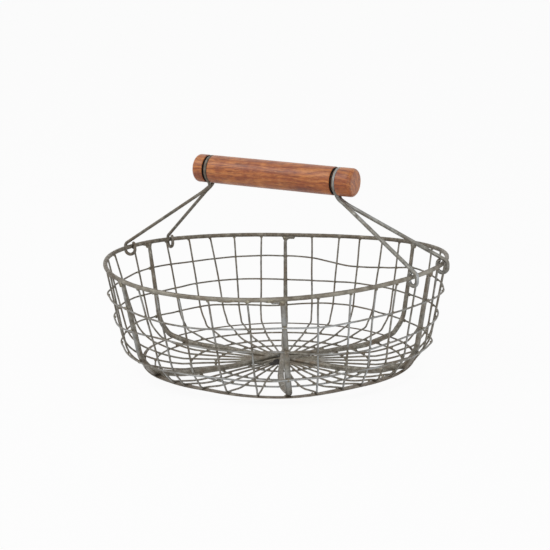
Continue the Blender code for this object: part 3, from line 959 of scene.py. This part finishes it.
def make_hub_solder(solder):
    """Thin uneven sheet of solder that fills the gaps between the wires round the hub."""
    columns, rows = HUB_SOLDER_COLUMNS, HUB_SOLDER_ROWS
    points, faces = [], []
    for side in (1, -1):
        for i in range(columns):
            spot = WIRES_ROUND * i / columns
            reach = from_ring(HUB_SOLDER_REACH, 360 * i / columns)
            reach *= mix(HUB_SOLDER_SHARE_BETWEEN, 1, math.cos(math.pi * spot)**2)
            reach *= 1 + 0.2 * ring_noise(360 * i / columns, 4, 3.5)
            for k in range(rows):
                radius = reach * mix(0.02, 1, k / (rows - 1))
                flat = place(turn_between(spot, radius), radius, FLOOR_SKIN)
                seed = flat * DENTS_PER_METRE + Vector((0, 0, side))
                bump = HUB_SOLDER_BUMPS * noise.noise(seed)
                thick = HUB_SOLDER_THICKNESS / 2 * (1 - 0.9 * (k / (rows - 1))**4) + bump
                points.append(flat + Vector((0, 0, UPRIGHT_RADIUS + side * thick)))
    half = columns * rows
    for i in range(columns):
        a, b = i * rows, (i + 1) % columns * rows
        for k in range(rows - 1):
            faces.append((a + k, a + k + 1, b + k + 1, b + k))
            faces.append((half + a + k, half + b + k, half + b + k + 1, half + a + k + 1))
        edge = rows - 1
        faces.append((a + edge, half + a + edge, half + b + edge, b + edge))
    faces.append(tuple(range(0, half, rows)))
    faces.append(tuple(range(half, 2 * half, rows))[::-1])
    finish("hub_solder", (points, faces), solder)


def make_hub_shadow(painted_shade):
    """Painted shadow: dark lumps in the pocket beside the rib_over rod, where the crossing casts
    shade.
    """
    across, back = unit(CAMERA_TURN).to_3d(), unit(CAMERA_TURN + 90).to_3d()
    centre = Vector((HUB_X, HUB_Y, FLOOR_SKIN + HUB_SOLDER_THICKNESS))
    shape = ([], [])
    for right, behind, wide, deep in HUB_SHADOW_SPOTS:
        spot = centre + across * right + back * behind
        lump(shape, spot, (across * wide, back * deep, Vector((0, 0, HUB_SHADOW_HALF_HEIGHT))), 0.3)
    finish("hub_painted_shadow", shape, painted_shade)


def solder_rim(solder):
    """Solder under the rim: small beads at the uprights, long feet at the ribs."""
    shape = ([], [])
    for wire, i in all_wires():
        turn = wire_turn(wire, RIM_RADIUS, RIM_HEIGHT)
        centre = place(turn, RIM_RADIUS, RIM_HEIGHT - RIM_WIRE_RADIUS)
        if i == 0:
            for side, reach in zip((-1, 1), RIB_FEET[wire // WIRES_PER_SECTOR]):
                axes = crossing_axes(turn, reach, *RIB_FOOT)
                foot = centre + axes[0] * side * 0.55 + Vector((0, 0, RIB_FOOT_LIFT))
                lump(shape, foot, axes, 0.3)
            axes = crossing_axes(turn, *RIM_RIB_JOINT)
            lump(shape, centre - Vector((0, 0, RIM_RIB_JOINT_DROP)), axes, 0.25)
        else:
            lump(shape, centre, crossing_axes(turn, *RIM_JOINT), 0.25, 2)
    for turn, reach in RIM_SPLASHES:
        centre = place(turn, RIM_RADIUS + SPLASH_OUT, RIM_HEIGHT - SPLASH_DROP)
        lump(shape, centre, crossing_axes(turn, reach, *SPLASH), 0.45)
    finish("rim_joints", shape, solder)


# The handle

def soften(points, reach):
    """Round the corners of a line of points."""
    soft = [points[0]]
    for before, corner, after in zip(points, points[1:], points[2:]):
        start = corner + (before - corner).normalized() * reach
        end = corner + (after - corner).normalized() * reach
        for i in range(SOFT_STEPS + 1):
            share = i / SOFT_STEPS
            soft.append(start.lerp(corner, share).lerp(corner.lerp(end, share), share))
    return soft + [points[-1]]


def handle_point(along, across, up):
    """Point given along the tilted grip, across it and up from its middle."""
    tilt = math.radians(GRIP_TILT)
    x = GRIP_SHIFT + along * math.cos(tilt) + up * math.sin(tilt)
    z = GRIP_HEIGHT - along * math.sin(tilt) + up * math.cos(tilt)
    return Vector((x, HUB_Y + across, z))


def rim_point(across, side):
    """Centre of the rim wire at a distance across the handle's plane, on one side in X."""
    turn = 0 if side > 0 else 180
    for _ in range(8):
        point = place(turn, RIM_RADIUS, RIM_HEIGHT)
        turn += side * math.degrees((HUB_Y + across - point.y) / RIM_RADIUS)
    return place(turn, RIM_RADIUS, RIM_HEIGHT)


def hook_points(spread_point, rim, side):
    """Hook from its tip round the rim to where the leg leaves it, slack below the rim."""
    outward = Vector((rim.x - spread_point.x, rim.y - spread_point.y, 0)).normalized()
    up = Vector((0, 0, 1))
    centre = rim + outward * HOOK_LOOK_ROOMS[side]
    hook_radius = HOOK_LOOK_RADII[side]
    distance = (centre - spread_point).dot(outward)
    drop = spread_point.z - centre.z
    slope = math.atan2(drop, distance) + math.asin(hook_radius / math.hypot(drop, distance))
    arcs = ((HOOK_TIP_TURN, 170, HOOK_STEPS, 0), (180, 360, 4 * HOOK_STEPS, -HOOK_SLACK),
            (0, 90 - math.degrees(slope), HOOK_STEPS, 0))
    points = []
    for start, end, steps, shift in arcs:
        for i in range(steps + 1):
            spot = unit(mix(start, end, i / steps)) * hook_radius
            points.append(centre + outward * spot.x + up * (spot.y + shift))
    return points


def leg_points(side, across):
    """From a hook's tip up the leg to the end of the loop under the grip."""
    groove = side * GROOVE_OFFSET + LOOP_SHIFTS[side]
    beside = BAIL_WIRE_RADIUS + SEAT_GAP / 2
    neck = handle_point(groove, math.copysign(beside, across), -GRIP_RADIUS - BAIL_NECK_DROP)
    rim = rim_point(across, side)
    run = Vector((rim.x - neck.x, 0, rim.z - neck.z)).normalized()
    spread = neck + run * BAIL_NECK_LENGTH
    hook = hook_points(spread, rim, side)
    spot = unit(-90 + LOOP_OPENING_TURN) * LOOP_RADIUS
    loop_end = handle_point(groove, math.copysign(spot.x, across), spot.y)
    return hook[:-1] + soften([hook[-1], spread, neck, loop_end], BAIL_SOFTENING)


def make_bail(name, side, zinc):
    front = leg_points(side, -LEFT_FRONT_HOOK_SPREAD if side < 0 else -FRONT_HOOK_SPREAD)
    back = leg_points(side, BACK_HOOK_SPREAD)
    groove = side * GROOVE_OFFSET + LOOP_SHIFTS[side]
    loop = []
    for i in range(1, LOOP_STEPS):
        turn = mix(LOOP_OPENING_TURN, 360 - LOOP_OPENING_TURN, i / LOOP_STEPS)
        loop.append(handle_point(groove, *unit(-90 - turn) * LOOP_RADIUS))
    path = smooth_path(front + loop + back[::-1], BAIL_STEP)
    high = GRIP_HEIGHT - GRIP_RADIUS - BAIL_NECK_DROP
    radii = []
    for point in path:
        below = min(max((high - point.z) / LOOP_TAPER_LENGTH, 0), 1)
        radii.append(mix(BAIL_WIRE_RADIUS, WIRE_LOOK_RADII[side], below))
    shape = tube(path, radii, ROD_SIDES, BAIL_DENTS, seed=side)
    finish(name + "_wire", shape, zinc, [name], name)


def grip_profile():
    """Outline of the grip from its middle to the middle of its end: distance and radius."""
    near = GROOVE_OFFSET - GROOVE_WIDTH / 2
    far = GROOVE_OFFSET + GROOVE_WIDTH / 2
    points = [(near * i / 12, GRIP_RADIUS) for i in range(12)]
    for edge, towards in ((near, -1), (far, 1)):
        rounded = []
        for i in range(5):
            spot = unit(90 - 22.5 * i)
            x = edge + towards * GROOVE_CHAMFER * (1 - spot.x)
            rounded.append((x, GRIP_RADIUS - GROOVE_CHAMFER * (1 - spot.y)))
        rounded += [(edge, GROOVE_RADIUS + GROOVE_FILLET),
                    (edge - towards * GROOVE_FILLET, GROOVE_RADIUS)]
        points += rounded if towards < 0 else rounded[::-1]
    last = points[-1][0]
    end = GRIP_LENGTH / 2 - GRIP_END_ROUND
    points += [(mix(last, end, i / 3), GRIP_RADIUS) for i in range(1, 3)]
    for i in range(13):
        spot = unit(90 - 7.5 * i) * GRIP_END_ROUND
        points.append((end + spot.x, GRIP_RADIUS - GRIP_END_ROUND + spot.y))
    for share in (0.75, 0.5, 0.25):
        points.append((GRIP_LENGTH / 2, (GRIP_RADIUS - GRIP_END_ROUND) * share))
    return points


def make_grip(wood):
    """Turned grip: its outline run round its axis, with the grooves moved sideways."""
    half = grip_profile()
    whole = [(-x, radius) for x, radius in half[:0:-1]] + half
    points, faces = [], []
    for i, (x, radius) in enumerate(whole):
        if abs(abs(x) - GROOVE_OFFSET) < GROOVE_WIDTH / 2 + 2 * GROOVE_CHAMFER:
            x += GROOVE_SHIFTS[1 if x > 0 else -1]
        for k in range(GRIP_SIDES):
            points.append(handle_point(x, *unit(360 * k / GRIP_SIDES) * radius))
        if i:
            faces += faces_between((i - 1) * GRIP_SIDES, i * GRIP_SIDES, GRIP_SIDES)
    faces.append(tuple(range(GRIP_SIDES))[::-1])
    faces.append(tuple(range(len(points) - GRIP_SIDES, len(points))))
    finish("turned_grip", (points, faces), wood, ["wooden_grip"], "grip")


def make_lining(name, side, shade_material):
    """Dark lining of a groove, painted shade in the recess, its back sunk into the wood."""
    middle = side * GROOVE_OFFSET + GROOVE_SHIFTS[side]
    half = GROOVE_WIDTH / 2 - LINING_SIDE_GAP
    low, high = GROOVE_RADIUS + LINING_LEAN, GRIP_RADIUS - GROOVE_CHAMFER - LINING_DEPTH
    wide, deep = half + LINING_DEPTH, low - GROOVE_FILLET
    section = ((-half, high), (-half + LINING_LEAN, low), (half - LINING_LEAN, low), (half, high),
               (wide, high), (wide, deep), (-wide, deep), (-wide, high))
    sides = len(section)
    points, faces = [], []
    for k in range(GRIP_SIDES):
        for along, radius in section:
            points.append(handle_point(middle + along, *unit(360 * k / GRIP_SIDES) * radius))
        faces += faces_between(k * sides, (k + 1) % GRIP_SIDES * sides, sides)
    finish(name, (points, faces), shade_material, (), "grip")


# The studio

def seen_ray(tree):
    """1 for what the camera sees straight, mirrored or through glass, and 0 otherwise."""
    rays = node(tree, "LightPath").outputs
    seen = node(tree, "Math", {0: rays["Is Camera Ray"], 1: rays["Is Glossy Ray"]},
                operation="MAXIMUM").outputs[0]
    return node(tree, "Math", {0: seen, 1: rays["Is Transmission Ray"]},
                operation="MAXIMUM").outputs[0]


def make_floor():
    mesh = bpy.data.meshes.new("floor")
    corners = ((-1, -1), (1, -1), (1, 1), (-1, 1))
    mesh.from_pydata([(x * FLOOR_REACH, y * FLOOR_REACH, -FLOOR_DROP) for x, y in corners], [],
                     [(0, 1, 2, 3)])
    floor = add_object("floor", mesh)
    material = bpy.data.materials.new("studio floor")
    material.use_nodes = True
    tree = material.node_tree
    tree.nodes.remove(tree.nodes["Principled BSDF"])
    share = node(tree, "Math", {0: seen_ray(tree), 1: FLOOR_GLOW_SHARE},
                 operation="MULTIPLY").outputs[0]
    matte = node(tree, "BsdfDiffuse", {"Color": colour_of(0.9)})
    glow = node(tree, "Emission", {"Color": colour_of(1), "Strength": 1.0})
    both = node(tree, "MixShader", {0: share, 1: matte.outputs[0], 2: glow.outputs[0]})
    tree.links.new(both.outputs[0], tree.nodes["Material Output"].inputs["Surface"])
    mesh.materials.append(material)


def make_world():
    world = bpy.data.worlds.new("studio")
    bpy.context.scene.world = world
    world.use_nodes = True
    tree = world.node_tree
    limits = {"Value": seen_ray(tree), "To Min": WORLD_STRENGTH, "To Max": 1.0}
    strength = node(tree, "MapRange", limits).outputs[0]
    back = tree.nodes["Background"]
    back.inputs["Color"].default_value = colour_of(1)
    tree.links.new(strength, back.inputs["Strength"])


def make_lamp(name, size, power, spot):
    lamp = bpy.data.lights.new(name, "AREA")
    lamp.size = size
    lamp.energy = power
    holder = add_object(name, lamp)
    holder.location = spot
    holder.rotation_euler = (LAMP_AIM - Vector(spot)).to_track_quat("-Z", "Y").to_euler()


def make_camera():
    camera = bpy.data.cameras.new("camera")
    camera.lens = CAMERA_LENS
    camera.sensor_width = 36
    camera.clip_end = 20
    holder = add_object("camera", camera)
    rise = math.radians(CAMERA_RISE)
    out = unit(CAMERA_TURN - 90) * math.cos(rise)
    back = Vector((out.x, out.y, math.sin(rise)))
    right = unit(CAMERA_TURN).to_3d()
    up = back.cross(right)
    holder.location = CAMERA_MIDDLE + back * CAMERA_DISTANCE
    aim = CAMERA_MIDDLE + up * AIM_UP + right * AIM_RIGHT
    look = (aim - holder.location).to_track_quat("-Z", "Y")
    holder.rotation_mode = "QUATERNION"
    holder.rotation_quaternion = look @ Quaternion((0, 0, 1), math.radians(CAMERA_ROLL))
    bpy.context.scene.camera = holder


def main():
    # The silver and cream colours and their shares feed the painted highlight of make_zinc,
    # strongest on the thin wires
    brown, silver = (120, 106, 90), (178, 182, 184)
    rod = make_zinc("aged rod", (98, 93, 83), (130, 125, 114), (162, 159, 149), brown, silver, 0.5)
    wire = make_zinc("aged wire", (94, 89, 79), (127, 122, 111), (166, 163, 154), brown, silver,
                     0.8)
    # Lit and shaded copies of one zinc for the two bails: the right one lighter and fully silvery
    # as a painted highlight, the left one darker as painted shade
    left_shaded_zinc = make_zinc("left bail zinc, shaded copy", (86, 82, 72), (114, 108, 97), (144, 140, 131), brown,
                          silver, 0.25)
    right_lit_zinc = make_zinc("right bail zinc, lit copy", (108, 105, 98), (144, 142, 134), (178, 178, 172),
                           (128, 121, 109), silver, 1.0)
    # The foot band's zinc is darker than the rest: partly its own tone, partly a painted contact
    # shadow under the foot, widest at the front
    band = make_zinc("foot zinc with painted contact shadow", (84, 74, 62), (114, 103, 88), (146, 137, 123), (98, 84, 68),
                     silver, 0.25)
    rim = make_zinc("rim zinc", (92, 86, 75), (121, 113, 100), (156, 150, 137), (110, 97, 81),
                    (184, 181, 169), 0.5)
    solder = make_solder()
    painted_shade = make_painted_shade_material()
    wood = make_wood()
    make_rim(rim)
    make_ribs(rod)
    make_uprights(wire)
    make_hoops(wire)
    make_strip(band)
    solder_side(solder)
    solder_floor(solder)
    solder_rim(solder)
    make_hub_solder(solder)
    make_hub_shadow(painted_shade)
    make_bail("left_bail", -1, left_shaded_zinc)
    make_bail("right_bail", 1, right_lit_zinc)
    make_grip(wood)
    make_lining("left_groove_painted_shade", -1, painted_shade)
    make_lining("right_groove_painted_shade", 1, painted_shade)
    make_floor()
    make_world()
    make_lamp("key", 1.0, 9, (-0.9, -1.1, 1.6))
    make_lamp("fill", 1.2, 5, (1.3, -1.3, 0.7))
    bpy.context.scene.view_settings.view_transform = "Standard"
    make_camera()


main()
